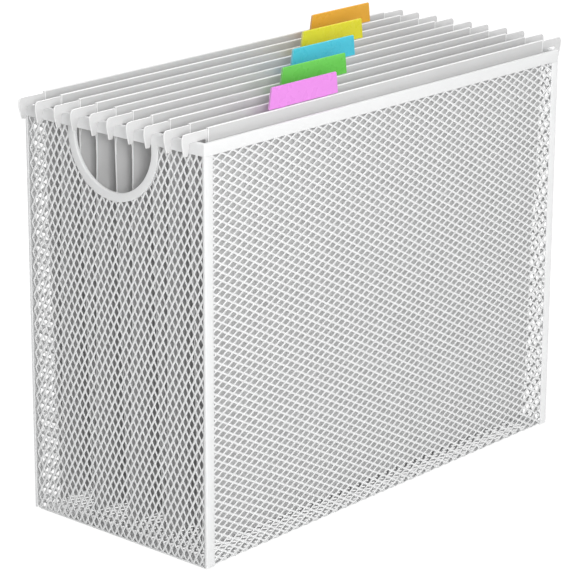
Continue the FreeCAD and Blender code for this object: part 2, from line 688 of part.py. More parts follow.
# The folders, numbered from the front
for number in range(1, int(size("folder_count")) + 1):
    name = "folder_%d_" % number
    pieces.append(crease(name + "crease", number))
    for leaf_name, side in (("front", -1), ("back", 1)):
        pieces.append(leaf(name + leaf_name + "_leaf", number, side))
        pieces.append(rail(name + leaf_name + "_rail", number, side))
    pieces.append(tab(name + "tab", number))
    pieces.append(label_card(name + "label", number))

# Checks before anything is written
doc.recompute()
for item in doc.Objects:
    if "Invalid" in item.State or "Error" in item.State:
        raise ValueError("%s is %s" % (item.Label, item.State))
for piece in pieces:
    if piece.Shape.isNull() or not piece.Shape.isValid():
        raise ValueError(piece.Label + " has no valid shape")

os.makedirs("parts", exist_ok=True)
for piece in pieces:
    piece.Shape.exportStep("parts/%s.step" % piece.Label)

whole = Part.makeCompound([piece.Shape for piece in pieces]).BoundBox
print(len(pieces), "pieces; X %.1f..%.1f  Y %.1f..%.1f  Z %.1f..%.1f" % (
    whole.XMin, whole.XMax, whole.YMin, whole.YMax, whole.ZMin, whole.ZMax))
print("leaf slope %.3f degrees, crease axis %.2f mm up, rail middle %.2f mm up" % (
    math.degrees(leaf_slope), axis_height, rail_middle))
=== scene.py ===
# %% [markdown]
# # A mesh hanging file box, dressed around its frame
# The frame is the measured model: every piece of the box and of its five hanging folders at
# its real size, in metres. This lesson gives each piece the surface and the fine shape that
# make it look real. The frame is loaded first, and its box is kept.

# %% The frame
import json
import math

import bmesh
import bpy
from mathutils import Matrix, Vector


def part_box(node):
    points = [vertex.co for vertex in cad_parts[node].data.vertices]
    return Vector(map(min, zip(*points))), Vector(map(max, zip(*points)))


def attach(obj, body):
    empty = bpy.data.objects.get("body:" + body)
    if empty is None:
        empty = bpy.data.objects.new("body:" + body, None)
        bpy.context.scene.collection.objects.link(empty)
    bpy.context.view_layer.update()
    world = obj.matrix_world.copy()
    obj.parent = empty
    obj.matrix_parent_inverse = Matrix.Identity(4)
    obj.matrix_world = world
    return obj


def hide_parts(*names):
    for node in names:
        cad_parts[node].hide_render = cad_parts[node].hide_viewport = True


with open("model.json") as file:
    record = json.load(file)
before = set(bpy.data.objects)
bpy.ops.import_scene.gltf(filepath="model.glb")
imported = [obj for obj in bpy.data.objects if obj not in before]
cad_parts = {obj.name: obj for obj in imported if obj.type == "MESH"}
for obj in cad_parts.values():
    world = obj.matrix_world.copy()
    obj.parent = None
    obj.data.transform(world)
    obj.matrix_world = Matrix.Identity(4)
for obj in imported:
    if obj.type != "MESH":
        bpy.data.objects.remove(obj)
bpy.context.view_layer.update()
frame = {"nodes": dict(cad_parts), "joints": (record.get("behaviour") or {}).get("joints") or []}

# %% [markdown]
# ## The sizes that everything follows
# Places come from the frame wherever the frame knows them: the rim gives the outside of the
# box, a hinge gives the bottom fold of each folder, and a rail tells how far a leaf leans.
# Only thicknesses and roundings, which the frame's boxes don't tell, are written here, in
# millimetres that are turned into metres at once.

# %% Sizes of the box
mm = 0.001
SIDES = {"front": -1, "back": 1}
ENDS = {"left": -1, "right": 1}
rim_low, rim_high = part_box("rim")
half_length, half_width, box_top, rim_under = rim_high.x, rim_high.y, rim_high.z, rim_low.z
sheet_thick = 0.6 * mm
mesh_low, mesh_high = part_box("mesh_front")
mesh_middle_y = -(mesh_low.y + mesh_high.y) / 2
mesh_thick = mesh_high.y - mesh_low.y
rim_room = 1.2 * mm
rim_depth = 2 * sheet_thick + rim_room
ring_low, ring_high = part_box("hand_ring_left")
ring_outer = ring_high.y
ring_width = 5 * mm
ring_inner = ring_outer - ring_width
ring_centre = ring_low.z + ring_outer
print("box %.0f x %.0f x %.0f mm, hand hole %.0f mm across" % (
    2000 * half_length, 2000 * half_width, 1000 * box_top, 2000 * ring_inner))

# %% Sizes of the folders
folder_count = sum(1 for joint in frame["joints"] if joint["name"].endswith("_lift"))
hinges = {joint["name"]: Vector(joint["pos_m"]) for joint in frame["joints"]
          if joint["name"].endswith("_swing")}
folder_places = [hinges["folder_%d_front_rail_swing" % (k + 1)].y for k in range(folder_count)]
fold_height = hinges["folder_1_front_rail_swing"].z
board_thick = 0.35 * mm
fold_outer = 1.2 * mm
rail_thick = 0.8 * mm
rail_height = 12.5 * mm
hem_slack = 0.1 * mm
sheet_middle = fold_outer - board_thick / 2
rail_middle = fold_outer - board_thick - hem_slack - rail_thick / 2
rail_low, rail_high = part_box("folder_1_front_rail")
rail_out = folder_places[0] - (rail_low.y + rail_high.y) / 2
rail_up = (rail_low.z + rail_high.z) / 2 - fold_height
rail_along = math.sqrt(rail_out ** 2 + rail_up ** 2 - rail_middle ** 2)
lean = math.atan2(rail_out, rail_up) - math.atan2(rail_middle, rail_along)
leaf_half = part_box("folder_1_front_leaf")[1].x
print("folders:", folder_count, "lean of a leaf: %.2f degrees" % math.degrees(lean))

# %% [markdown]
# ## The camera
# The photograph was taken with a long lens from the front left, a little above the rim. The
# upright edges of the box are nearly parallel in it, and both visible walls and the rim
# converge only slightly, which fixes the distance. The camera's turn, tilt and distance were
# worked out from the box's corners, so the object falls in the picture where the real one does.

# %% Camera
PICTURE = 576
camera_place = Vector((-1.16129, -1.01485, 0.59927))
camera_turn = math.radians(48.5248)
camera_tilt = math.radians(17.4464)
camera_roll = math.radians(0.2228)
focal_pixels = 2660.38

camera_data = bpy.data.cameras.new("camera")
camera_data.lens = camera_data.sensor_width * focal_pixels / PICTURE
camera_data.clip_end = 20.0
ahead = Vector((math.sin(camera_turn) * math.cos(camera_tilt),
                math.cos(camera_turn) * math.cos(camera_tilt), -math.sin(camera_tilt)))
level = Vector((math.cos(camera_turn), -math.sin(camera_turn), 0.0))
upward = level.cross(ahead)
right = math.cos(camera_roll) * level + math.sin(camera_roll) * upward
top = math.cos(camera_roll) * upward - math.sin(camera_roll) * level
camera = bpy.data.objects.new("camera", camera_data)
bpy.context.scene.collection.objects.link(camera)
turned = Matrix((right, top, -ahead)).transposed().to_4x4()
camera.matrix_world = Matrix.Translation(camera_place) @ turned
bpy.context.scene.camera = camera
print("lens %.1f mm, %.2f m from the box" % (camera_data.lens, camera_place.length))

# %% [markdown]
# ## One way to build node trees
# Materials and Geometry Nodes are both trees of nodes. Writing them node by node is long, so
# one small class wraps an output and lets us write sums as ordinary Python, and one method
# makes every other node: its type, its settings, then the values or links of its sockets.
# Numbers that don't change over the surface are worked out in Python and never become nodes.


# %% Sums on sockets
def operator(operation, swapped=False):
    """A method for an operator: it adds one Math node, with the operands swapped if need be."""
    def method(*values):
        return values[0].tree.maths(operation, *(values[::-1] if swapped else values))
    return method


class Value:
    """An output of a node. Each operator adds one Math node to the same tree."""

    def __init__(self, tree, socket):
        self.tree = tree
        self.socket = socket

    __add__ = __radd__ = operator("ADD")
    __sub__ = operator("SUBTRACT")
    __rsub__ = operator("SUBTRACT", True)
    __mul__ = __rmul__ = operator("MULTIPLY")
    __truediv__ = operator("DIVIDE")
    __gt__ = operator("GREATER_THAN")
    __lt__ = operator("LESS_THAN")
    __abs__ = operator("ABSOLUTE")


class Tree:
    """A node tree, with one method that makes any node."""

    def __init__(self, tree):
        self.tree = tree
        tree.nodes.clear()

    def node(self, kind, settings=None, inputs=None):
        """Makes a node, sets it up, feeds its inputs by name or number, and returns it."""
        made = self.tree.nodes.new(kind)
        for name, value in (settings or {}).items():
            setattr(made, name, value)
        for name, value in (inputs or {}).items():
            self.feed(made.inputs[name], value)
        return made

    def out(self, kind, settings=None, inputs=None, output=0):
        """Makes a node and returns one of its outputs, by name or number."""
        return Value(self, self.node(kind, settings, inputs).outputs[output])

    def feed(self, socket, value):
        """Links an output to a socket, or sets the socket's own value."""
        for item in value if isinstance(value, list) else [value]:
            if isinstance(item, Value):
                self.tree.links.new(item.socket, socket)
            else:
                socket.default_value = item

    def maths(self, operation, *values):
        return self.out("ShaderNodeMath", {"operation": operation}, dict(enumerate(values)))

    def part(self, vector, axis):
        """The X, Y or Z of a vector."""
        return self.out("ShaderNodeSeparateXYZ", None, {0: vector}, axis)

    def vector(self, **parts):
        return self.out("ShaderNodeCombineXYZ", None, parts)

    def mix(self, amount, first, second):
        """Mixes two colours."""
        inputs = {0: amount, 6: first, 7: second}
        return self.out("ShaderNodeMix", {"data_type": "RGBA"}, inputs, 2)


# %% [markdown]
# ## Finishes
# Nothing on this object is bare: the steel is powder coated white, the rails are dipped in a
# light grey paint, the folders are a pale grey board with a white core, and the tabs are tinted
# plastic over a white card. What tells such plain surfaces from computer plastic is small:
# the orange peel of the powder, a little cloudiness in the white, fibres in the board. The
# thin pale lines matter most: board shows its core on its cut faces, and painted highlights
# make pale a narrow band at each cut end of the board, its upward faces such as the hem crests,
# the rails' edges, and the tabs' edges, where light comes out of clear plastic. The surface's
# own direction tells where most of them are, as each of these edges faces one way.
# So each finish starts from one shader and adds its own grain through colour, roughness and
# bump.


# %% A finish and its grain
def new_finish(name, roughness, specular):
    """A material with one Principled shader, and its tree."""
    material = bpy.data.materials.new(name)
    material.use_nodes = True
    tree = Tree(material.node_tree)
    shader = tree.node("ShaderNodeBsdfPrincipled", None, {
        "Roughness": roughness, "Specular IOR Level": specular})
    tree.node("ShaderNodeOutputMaterial", None, {"Surface": Value(tree, shader.outputs[0])})
    return material, tree, shader


def place_of(tree):
    """The point's place on the object, in metres."""
    return tree.out("ShaderNodeTexCoord", None, None, "Object")


def grain(tree, place, size, detail=2.0, stretch=None):
    """Cloudy noise from 0 to 1 with features of about a size in metres."""
    if stretch:
        place = tree.out("ShaderNodeMapping", None, {"Vector": place, "Scale": stretch})
    return tree.out("ShaderNodeTexNoise", None, {
        "Vector": place, "Scale": 1.0 / size, "Detail": detail, "Roughness": 0.55})


def bump(tree, shader, height, distance, strength):
    """Feeds a height to the shader's normal."""
    normal = tree.out("ShaderNodeBump", None, {
        "Height": height, "Distance": distance, "Strength": strength})
    tree.feed(shader.inputs["Normal"], normal)


def facing(tree, axis):
    """How far the surface faces along X, Y or Z, from -1 to 1."""
    normal = tree.out("ShaderNodeNewGeometry", None, None, "Normal")
    return tree.part(normal, axis)


def grey(value, tint=(1.0, 1.0, 1.0)):
    return tuple(value * part for part in tint) + (1.0,)


# %% Powder coat
COAT_TINT = (0.992, 0.998, 1.0)
NET_PALE, SHEET_PALE = 0.86, 0.84
COAT_DULL = 0.80


def powder_coat(name, pale, roughness):
    """White powder coat: slight clouds in the white, and the fine ripple of orange peel."""
    material, tree, shader = new_finish(name, roughness, 0.4)
    place = place_of(tree)
    clouds = grain(tree, place, 14 * mm)
    peel = grain(tree, place, 0.9 * mm, 1.0)
    tree.feed(shader.inputs["Base Color"], tree.mix(
        clouds, grey(COAT_DULL, COAT_TINT), grey(pale, COAT_TINT)))
    tree.feed(shader.inputs["Roughness"], roughness - 0.05 + 0.1 * grain(tree, place, 5 * mm))
    bump(tree, shader, peel, 0.03 * mm, 0.5)
    return material


net_coat = powder_coat("net_powder_coat", NET_PALE, 0.42)
sheet_coat = powder_coat("sheet_powder_coat", SHEET_PALE, 0.36)
print("powder coats:", net_coat.name, sheet_coat.name)


# %% Rail paint
RAIL_GREY = 0.70
# Grey of the painted highlight along the rails' edges.
RAIL_EDGE_HIGHLIGHT = 0.90


def rail_paint():
    """Dipped light grey paint, smooth and a little glossy; its edges get a painted highlight."""
    material, tree, shader = new_finish("rail_paint", 0.3, 0.5)
    place = place_of(tree)
    runs = grain(tree, place, 9 * mm, 2.0, (1.0, 1.0, 0.3))
    face = tree.mix(runs, grey(RAIL_GREY - 0.02), grey(RAIL_GREY + 0.02))
    # Painted highlight: the strip's edges, which face across the rail, are paler than its faces.
    on_edge = abs(facing(tree, "Y")) < 0.97
    tree.feed(shader.inputs["Base Color"], tree.mix(on_edge, face, grey(RAIL_EDGE_HIGHLIGHT)))
    tree.feed(shader.inputs["Roughness"], 0.24 + 0.14 * grain(tree, place, 3 * mm))
    bump(tree, shader, grain(tree, place, 1.6 * mm, 1.0), 0.03 * mm, 0.4)
    return material


rail_coat = rail_paint()


# %% Folder board
BOARD_GREY = 0.64
# Pale of the board's core on cut faces, also used for the painted highlight near cut ends.
CORE_AND_HIGHLIGHT_PALE = 0.92
# Painted highlight on the board's upward faces, brighter on the front leaves.
UPWARD_HIGHLIGHT_PALE = {"front": 0.95, "back": 0.84}
# Width of the band at each cut end of a leaf that gets a painted highlight.
CUT_END_HIGHLIGHT_BAND = 0.6 * mm


def folder_board(name, crease):
    """Pale grey board with long fibres. Its cut faces show a pale core; its upward faces and a
    narrow band at each cut end get a painted highlight.
    """
    material, tree, shader = new_finish(name, 0.62, 0.3)
    place = place_of(tree)
    fibres = grain(tree, place, 1.1 * mm, 4.0, (0.25, 1.0, 1.0))
    clouds = grain(tree, place, 22 * mm)
    face = tree.mix(clouds, grey(BOARD_GREY - 0.02), grey(BOARD_GREY + 0.02))
    speckled = tree.mix(fibres * 0.12, face, grey(BOARD_GREY - 0.10))
    # Painted highlight: faces turned upwards, such as the crests of the hems, get the pale crease
    # grey.
    highlit_top = tree.mix(facing(tree, "Z") > 0.55, speckled, grey(crease))
    along = tree.part(place, "X")
    # Cut faces show the board's pale core; a narrow band at each cut end is painted the same pale
    # as a highlight.
    core_and_end_highlight = tree.maths("MAXIMUM", abs(facing(tree, "X")) > 0.7, abs(along) > leaf_half - CUT_END_HIGHLIGHT_BAND)
    tree.feed(shader.inputs["Base Color"], tree.mix(core_and_end_highlight, highlit_top, grey(CORE_AND_HIGHLIGHT_PALE)))
    tree.feed(shader.inputs["Roughness"], 0.55 + 0.14 * fibres)
    bump(tree, shader, fibres, 0.02 * mm, 0.5)
    return material


boards = {SIDES[word]: folder_board("folder_board_" + word, pale)
          for word, pale in UPWARD_HIGHLIGHT_PALE.items()}


# %% Tab plastic and label card
TAB_COLOURS = {
    "folder_1": (0.79, 0.257, 0.78),
    "folder_2": (0.16, 0.69, 0.095),
    "folder_3": (0.089, 0.67, 0.86),
    "folder_4": (0.90, 0.84, 0.04),
    "folder_5": (0.94, 0.475, 0.04),
}
EDGE_LIGHT = 0.4


def tab_plastic(folder, colour):
    """Tinted sheet plastic over a white card: even colour, soft gloss, bright edges."""
    material, tree, shader = new_finish(folder + "_tab_plastic", 0.28, 0.4)
    place = place_of(tree)
    streaks = grain(tree, place, 14 * mm, 1.0, (0.4, 1.0, 1.0))
    deep = tuple(0.97 * part for part in colour) + (1.0,)
    bright = tuple(part + EDGE_LIGHT * (1.0 - part) for part in colour) + (1.0,)
    face = tree.mix(streaks, deep, colour + (1.0,))
    edge = abs(facing(tree, "X")) > 0.7
    tree.feed(shader.inputs["Base Color"], tree.mix(edge, face, bright))
    tree.feed(shader.inputs["Roughness"], 0.24 + 0.08 * grain(tree, place, 6 * mm, 1.0))
    bump(tree, shader, grain(tree, place, 9 * mm, 1.0), 0.03 * mm, 0.3)
    return material


def label_card():
    """Uncoated white card with a fine tooth."""
    material, tree, shader = new_finish("label_card", 0.75, 0.2)
    place = place_of(tree)
    fibres = grain(tree, place, 0.7 * mm, 4.0)
    tree.feed(shader.inputs["Base Color"], tree.mix(fibres, grey(0.84), grey(0.89)))
    bump(tree, shader, fibres, 0.015 * mm, 0.4)
    return material


tab_plastics = {folder: tab_plastic(folder, colour) for folder, colour in TAB_COLOURS.items()}
card = label_card()
print("finishes:", len(bpy.data.materials))

# %% [markdown]
# ## The expanded metal net
# The walls and floor are expanded metal. Rows of slits are cut in a steel sheet, the sheet is
# pulled wide, and the slits open into diamonds. Each strand between two slits is a flat ribbon
# that ends up slightly twisted, so one set of strands faces up and the other down, which is
# why a lit net shows one bright slant and one dull slant. Where strands meet, the metal is
# unslit and fatter.
#
# The net could be a picture with holes on a flat plane, but it would lose that twist, the
# shadows and the scalloped bottom edge. It could be built strand by strand in Python, which
# is slow. A Geometry Nodes tree says the rule once: straight lines slanted both ways across
# the flat blank, a ribbon along each, and then a bend that folds the blank up along one
# line, as the press does. The tree is given a window of the same flat blank for each wall
# and the floor, so the diamonds run on without a break from one to the next.

# %% Net sizes
NET = {
    "Long Way": 8.81 * mm,
    "Short Way": 4.83 * mm,
    "Strand Width": 1.34 * mm,
    "Strand Thick": 0.42 * mm,
    "Knuckle": 0.1,
    "Bond": 0.25,
    "Twist": math.radians(-8),
}
STEPS_PER_DIAMOND = 6
LONG_BEND = 2.5 * mm
END_BEND = 1.0 * mm
floor_middle = mesh_thick / 2
net_middle_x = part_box("mesh_right")[1].x - mesh_thick / 2
fold_u = net_middle_x - END_BEND
fold_v = mesh_middle_y - LONG_BEND
net_top = mesh_high.z


def flap_start(fold, bend):
    """Distance in the flat blank that a fold brings to height 0 on the wall."""
    return fold + bend * (math.pi / 2 - 1) - floor_middle


# %% Inputs of the net tree
def new_tree(name, sizes):
    """A Geometry Nodes tree with named inputs; returns it with its inputs as values."""
    group = bpy.data.node_groups.new(name, "GeometryNodeTree")
    tree = Tree(group)
    for label, kind in sizes.items():
        group.interface.new_socket(label, in_out="INPUT", socket_type="NodeSocket" + kind)
    group.interface.new_socket("Geometry", in_out="OUTPUT", socket_type="NodeSocketGeometry")
    start = group.nodes.new("NodeGroupInput")
    given = {label: Value(tree, start.outputs[label]) for label in sizes}
    return tree, given


def apply_modifiers(piece):
    """Turns what a piece's modifiers make of it into its own plain mesh."""
    evaluated = piece.evaluated_get(bpy.context.evaluated_depsgraph_get())
    mesh = bpy.data.meshes.new_from_object(evaluated)
    piece.modifiers.clear()
    piece.data = mesh


def run_tree(tree, name, values):
    """Runs a tree on an empty mesh and returns the result as a plain mesh object."""
    piece = bpy.data.objects.new(name, bpy.data.meshes.new(name))
    bpy.context.scene.collection.objects.link(piece)
    modifier = piece.modifiers.new("form", "NODES")
    modifier.node_group = tree.tree
    for item in tree.tree.interface.items_tree:
        if item.in_out == "INPUT" and item.name in values:
            modifier[item.identifier] = values[item.name]
    apply_modifiers(piece)
    piece.data.name = name
    return piece


# %% The lines of one slant
def slanted_lines(tree, given, slant):
    """Polylines across the blank: a row of points copied up the blank, then sheared. The
    points fall on every crossing and on two places between, and the line runs flatter through
    a crossing, where two strands share a bond of unslit metal."""
    long_way, short_way = given["Long Way"], given["Short Way"]
    step = long_way / STEPS_PER_DIAMOND
    reach = given["Blank Reach"]
    steps = tree.maths("CEIL", reach / step)
    rows = tree.maths("CEIL", 1.5 * reach / short_way)
    line = tree.out("GeometryNodeMeshLine", {"mode": "OFFSET"}, {
        "Count": 2 * steps + 1,
        "Start Location": tree.vector(X=-1 * steps * step), "Offset": tree.vector(X=step)})
    starts = tree.out("GeometryNodeMeshLine", {"mode": "OFFSET"}, {
        "Count": 2 * rows + 1,
        "Start Location": tree.vector(Y=-1 * rows * short_way),
        "Offset": tree.vector(Y=short_way)})
    copies = tree.out("GeometryNodeInstanceOnPoints", None, {"Points": starts, "Instance": line})
    lines = tree.out("GeometryNodeRealizeInstances", None, {"Geometry": copies})
    place = tree.out("GeometryNodeInputPosition")
    along = tree.part(place, "X")
    ripple = tree.maths("SINE", along * (4 * math.pi) / long_way) * long_way / (4 * math.pi)
    shear = tree.vector(Y=slant * (along - given["Bond"] * ripple) * short_way / long_way)
    return tree.out("GeometryNodeSetPosition", None, {"Geometry": lines, "Offset": shear})


# %% The window of the blank that one piece keeps
def inside_window(tree, given):
    """1 for the points that a piece keeps: in its window and clear of its hand hole."""
    place = tree.out("GeometryNodeInputPosition")
    along, across = tree.part(place, "X"), tree.part(place, "Y")
    keep = 1.0
    for axis, value in (("X", along), ("Y", across)):
        keep = (value > tree.part(given["Window Low"], axis)) * keep
        keep = (value < tree.part(given["Window High"], axis)) * keep
    beyond = tree.maths("MINIMUM", abs(along) - given["Hole Distance"], 0.0)
    from_hole = tree.maths("SQRT", beyond * beyond + across * across)
    return keep * (from_hole > given["Hole Radius"])


# %% A ribbon along each line
def strands(tree, given, slant):
    """Twisted ribbons along the lines of one slant, fatter at the knuckles where they cross."""
    lines = slanted_lines(tree, given, slant)
    outside = 1 - inside_window(tree, given)
    kept = tree.out("GeometryNodeDeleteGeometry", {"domain": "POINT"}, {
        "Geometry": lines, "Selection": outside > 0.5})
    curves = tree.out("GeometryNodeMeshToCurve", None, {"Mesh": kept})
    level_curves = tree.out("GeometryNodeSetCurveNormal", {"mode": "Z_UP"}, {"Curve": curves})
    place = tree.out("GeometryNodeInputPosition")
    along = tree.part(place, "X")
    wave = tree.maths("SINE", along * (2 * math.pi) / given["Long Way"])
    waist = 1 - given["Knuckle"] * wave * wave
    twisted = tree.out("GeometryNodeSetCurveTilt", None, {
        "Curve": level_curves, "Tilt": slant * given["Twist"]})
    profile = tree.out("GeometryNodeCurvePrimitiveQuadrilateral", {"mode": "RECTANGLE"}, {
        "Width": given["Strand Width"], "Height": given["Strand Thick"]})
    return tree.out("GeometryNodeCurveToMesh", None, {
        "Curve": twisted, "Profile Curve": profile, "Scale": waist, "Fill Caps": True})


# %% The press brake: folding the blank up along one line
def folded(tree, given, geometry):
    """Bends the flat net up round a quarter circle at a distance from the blank's middle."""
    place = tree.out("GeometryNodeInputPosition")
    direction = given["Fold Along"]

    def vector_maths(operation, inputs, output=0):
        return tree.out("ShaderNodeVectorMath", {"operation": operation}, inputs, output)

    flat = vector_maths("DOT_PRODUCT", {0: place, 1: direction}, "Value")
    lift = tree.part(place, "Z")
    radius = given["Fold Radius"]
    past = tree.maths("MAXIMUM", abs(flat) - given["Fold At"], 0.0)
    angle = tree.maths("MINIMUM", past / radius, math.pi / 2)
    straight = tree.maths("MAXIMUM", past - radius * (math.pi / 2), 0.0)
    bent = (tree.maths("MINIMUM", abs(flat), given["Fold At"])
            + (radius - lift) * tree.maths("SINE", angle))
    height = (given["Floor Middle"] + radius - (radius - lift) * tree.maths("COSINE", angle)
              + straight)
    shift = tree.maths("SIGN", flat) * bent - flat
    moved = vector_maths("SCALE", {0: direction, "Scale": shift})
    risen = tree.vector(Z=height - lift)
    return tree.out("GeometryNodeSetPosition", None, {
        "Geometry": geometry, "Offset": vector_maths("ADD", {0: moved, 1: risen})})


# %% The whole net tree
net_tree, given = new_tree("expanded_net", {
    "Long Way": "Float", "Short Way": "Float", "Strand Width": "Float", "Strand Thick": "Float",
    "Knuckle": "Float", "Bond": "Float", "Twist": "Float", "Blank Reach": "Float",
    "Window Low": "Vector", "Window High": "Vector",
    "Hole Distance": "Float", "Hole Radius": "Float",
    "Fold Along": "Vector", "Fold At": "Float", "Fold Radius": "Float", "Floor Middle": "Float",
    "Material": "Material"})
both_slants = net_tree.out("GeometryNodeJoinGeometry", None, {
    "Geometry": [strands(net_tree, given, 1), strands(net_tree, given, -1)]})
smooth_net = net_tree.out("GeometryNodeSetShadeSmooth", None, {
    "Geometry": folded(net_tree, given, both_slants)})
painted = net_tree.out("GeometryNodeSetMaterial", None, {
    "Geometry": smooth_net, "Material": given["Material"]})
net_tree.node("NodeGroupOutput", None, {"Geometry": painted})
print("nodes in the net tree:", len(net_tree.tree.nodes))

# %% [markdown]
# ## The five nets of the box
# The floor and the two long walls are one blank: the floor keeps the middle, and each long
# wall keeps the flap beyond one fold line, starting on the very points where the floor's
# strands end. The two end panels are stamped apart. Each has a half-round hand hole, and a
# plain edge all round that is bent over: along the long walls it makes the corner strips, and
# along the floor a flange, which hides the cut ends of the floor's net.

# %% Nets
HIDDEN_EDGE = 1.0 * mm
STRIP_ROOM = 0.8 * mm
long_edge = half_length - rim_depth
end_edge = half_width - mesh_thick - STRIP_ROOM
end_start = flap_start(fold_u, END_BEND)
flap_u = end_start + net_top
flap_v = flap_start(fold_v, LONG_BEND) + net_top
hole_u = end_start + ring_centre
FLANGE_LENGTH = 12 * mm
FLANGE_RISE = 1.5 * mm
floor_u = half_length - FLANGE_LENGTH + NET["Long Way"] / STEPS_PER_DIAMOND
end_low = end_start + FLANGE_RISE - NET["Long Way"] / STEPS_PER_DIAMOND
step_v = NET["Short Way"] / STEPS_PER_DIAMOND
FAR = 10.0
NO_FOLD = {"Fold Along": (1.0, 0.0, 0.0), "Fold At": FAR, "Fold Radius": END_BEND}
LONG_FOLD = {"Fold Along": (0.0, 1.0, 0.0), "Fold At": fold_v, "Fold Radius": LONG_BEND}
END_FOLD = {"Fold Along": (1.0, 0.0, 0.0), "Fold At": fold_u, "Fold Radius": END_BEND,
            "Hole Distance": hole_u, "Hole Radius": ring_inner + HIDDEN_EDGE}


def net_piece(name, low, high, fold):
    """One window of the blank, folded up along one line."""
    sizes = {"Blank Reach": flap_u, "Window Low": low + (0.0,), "Window High": high + (0.0,),
             "Hole Distance": FAR, "Hole Radius": 0.0, "Floor Middle": floor_middle,
             "Material": net_coat}
    return run_tree(net_tree, name, NET | sizes | fold)


nets = {
    "mesh_floor": net_piece("floor_net", (-floor_u, -fold_v), (floor_u, fold_v), NO_FOLD),
    "mesh_front": net_piece("front_net", (-long_edge, -flap_v), (long_edge, step_v - fold_v),
                            LONG_FOLD),
    "mesh_back": net_piece("back_net", (-long_edge, fold_v - step_v), (long_edge, flap_v),
                           LONG_FOLD),
    "mesh_left": net_piece("left_net", (-flap_u, -end_edge), (-end_low, end_edge), END_FOLD),
    "mesh_right": net_piece("right_net", (end_low, -end_edge), (flap_u, end_edge), END_FOLD),
}
for node, net in nets.items():
    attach(net, "box")
    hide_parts(node)
    print(net.name, "faces", len(net.data.polygons))

# %% [markdown]
# ## Folded sheet: rim, hand-hole rings and corner strips
# These are strips of sheet steel folded over the raw edges of the net. A fold in sheet has
# a small radius, and that radius is what catches the light along the rim. Each of them is one
# section carried along a path, so one function sweeps them all: it takes rings of points, one
# for each station of the path, and joins them with faces. The corner strips are a little
# narrower and bent more sharply than in the frame, as a close look at the photograph asks.


# %% Sweeping a section
def arc(centre_x, centre_y, radius, start, stop, steps):
    """Points along an arc between two angles in degrees, both ends included."""
    angles = [math.radians(start + (stop - start) * i / steps) for i in range(steps + 1)]
    return [(centre_x + radius * math.cos(a), centre_y + radius * math.sin(a)) for a in angles]


def new_piece(name, mesh_builder, material):
    """An object at the origin from a filled bmesh, with its faces turned outwards."""
    mesh = bpy.data.meshes.new(name)
    bmesh.ops.remove_doubles(mesh_builder, verts=mesh_builder.verts, dist=1e-6)
    bmesh.ops.recalc_face_normals(mesh_builder, faces=mesh_builder.faces)
    mesh_builder.to_mesh(mesh)
    mesh_builder.free()
    mesh.materials.append(material)
    piece = bpy.data.objects.new(name, mesh)
    bpy.context.scene.collection.objects.link(piece)
    return piece


def skin(rings, closed, builder=None):
    """Faces between neighbouring rings of points; an open sweep gets flat ends."""
    builder = builder or bmesh.new()
    rows = [[builder.verts.new(point) for point in ring] for ring in rings]
    count = len(rows[0])
    pairs = list(zip(rows, rows[1:] + rows[:1])) if closed else list(zip(rows, rows[1:]))
    for first, second in pairs:
        for i in range(count):
            j = (i + 1) % count
            builder.faces.new((first[i], first[j], second[j], second[i]))
    if not closed:
        builder.faces.new(rows[0])
        builder.faces.new(list(reversed(rows[-1])))
    return builder


def smooth_by_angle(piece, degrees=40):
    """Smooth shading, except across edges sharper than an angle."""
    builder = bmesh.new()
    builder.from_mesh(piece.data)
    for face in builder.faces:
        face.smooth = True
    for edge in builder.edges:
        edge.smooth = edge.is_manifold and edge.calc_face_angle(0.0) < math.radians(degrees)
    builder.to_mesh(piece.data)
    builder.free()


# %% The rim
RIM_ROUND = 0.9 * mm
EDGE_ROUND = 0.2 * mm
CORNER_BEND = 0.9 * mm
CORNER_STEPS = 8
SHARP = 0.02 * mm


def folded_section(depth, height, thick, top_round, lip_round):
    """Section of a sheet folded over an edge: an upside-down U with a round back. The first
    number of a point is the distance in from the outer face, the second the height."""
    points = arc(top_round, height - top_round, top_round, 180, 90, 6)
    points += arc(depth - top_round, height - top_round, top_round, 90, 0, 6)
    points += arc(depth - lip_round, lip_round, lip_round, 0, -90, 2)
    points += [(depth - thick, 0.0), (depth - thick, height - thick)]
    points += [(thick, height - thick), (thick, 0.0)]
    points += arc(lip_round, lip_round, lip_round, 270, 180, 2)
    return points


def rim_point(inset, height, corner, angle):
    """A point of the rim at an inset from the outer face, round one of the four corners."""
    side_x, side_y = corner
    bend = max(CORNER_BEND - inset, SHARP)
    x = half_length - inset - bend + bend * math.cos(angle)
    y = half_width - inset - bend + bend * math.sin(angle)
    return Vector((side_x * x, side_y * y, rim_under + height))


def rim_rings(section):
    """The section at stations round the four corners, in order round the box."""
    rings = []
    for corner, forward in (((1, 1), True), ((-1, 1), False), ((-1, -1), True), ((1, -1), False)):
        steps = range(CORNER_STEPS + 1)
        for step in steps if forward else reversed(steps):
            angle = math.pi / 2 * step / CORNER_STEPS
            rings.append([rim_point(inset, height, corner, angle) for inset, height in section])
    return rings


rim_section = folded_section(rim_depth, box_top - rim_under, sheet_thick, RIM_ROUND, EDGE_ROUND)
rim = new_piece("rim_sheet", skin(rim_rings(rim_section), True), sheet_coat)
smooth_by_angle(rim)
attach(rim, "box")
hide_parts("rim")
print("rim faces:", len(rim.data.polygons))

# %% The hand-hole rings
RING_STEPS = 64
RING_ROUND = 0.5 * mm
ring_section = folded_section(rim_depth, ring_width, sheet_thick, RING_ROUND, EDGE_ROUND)


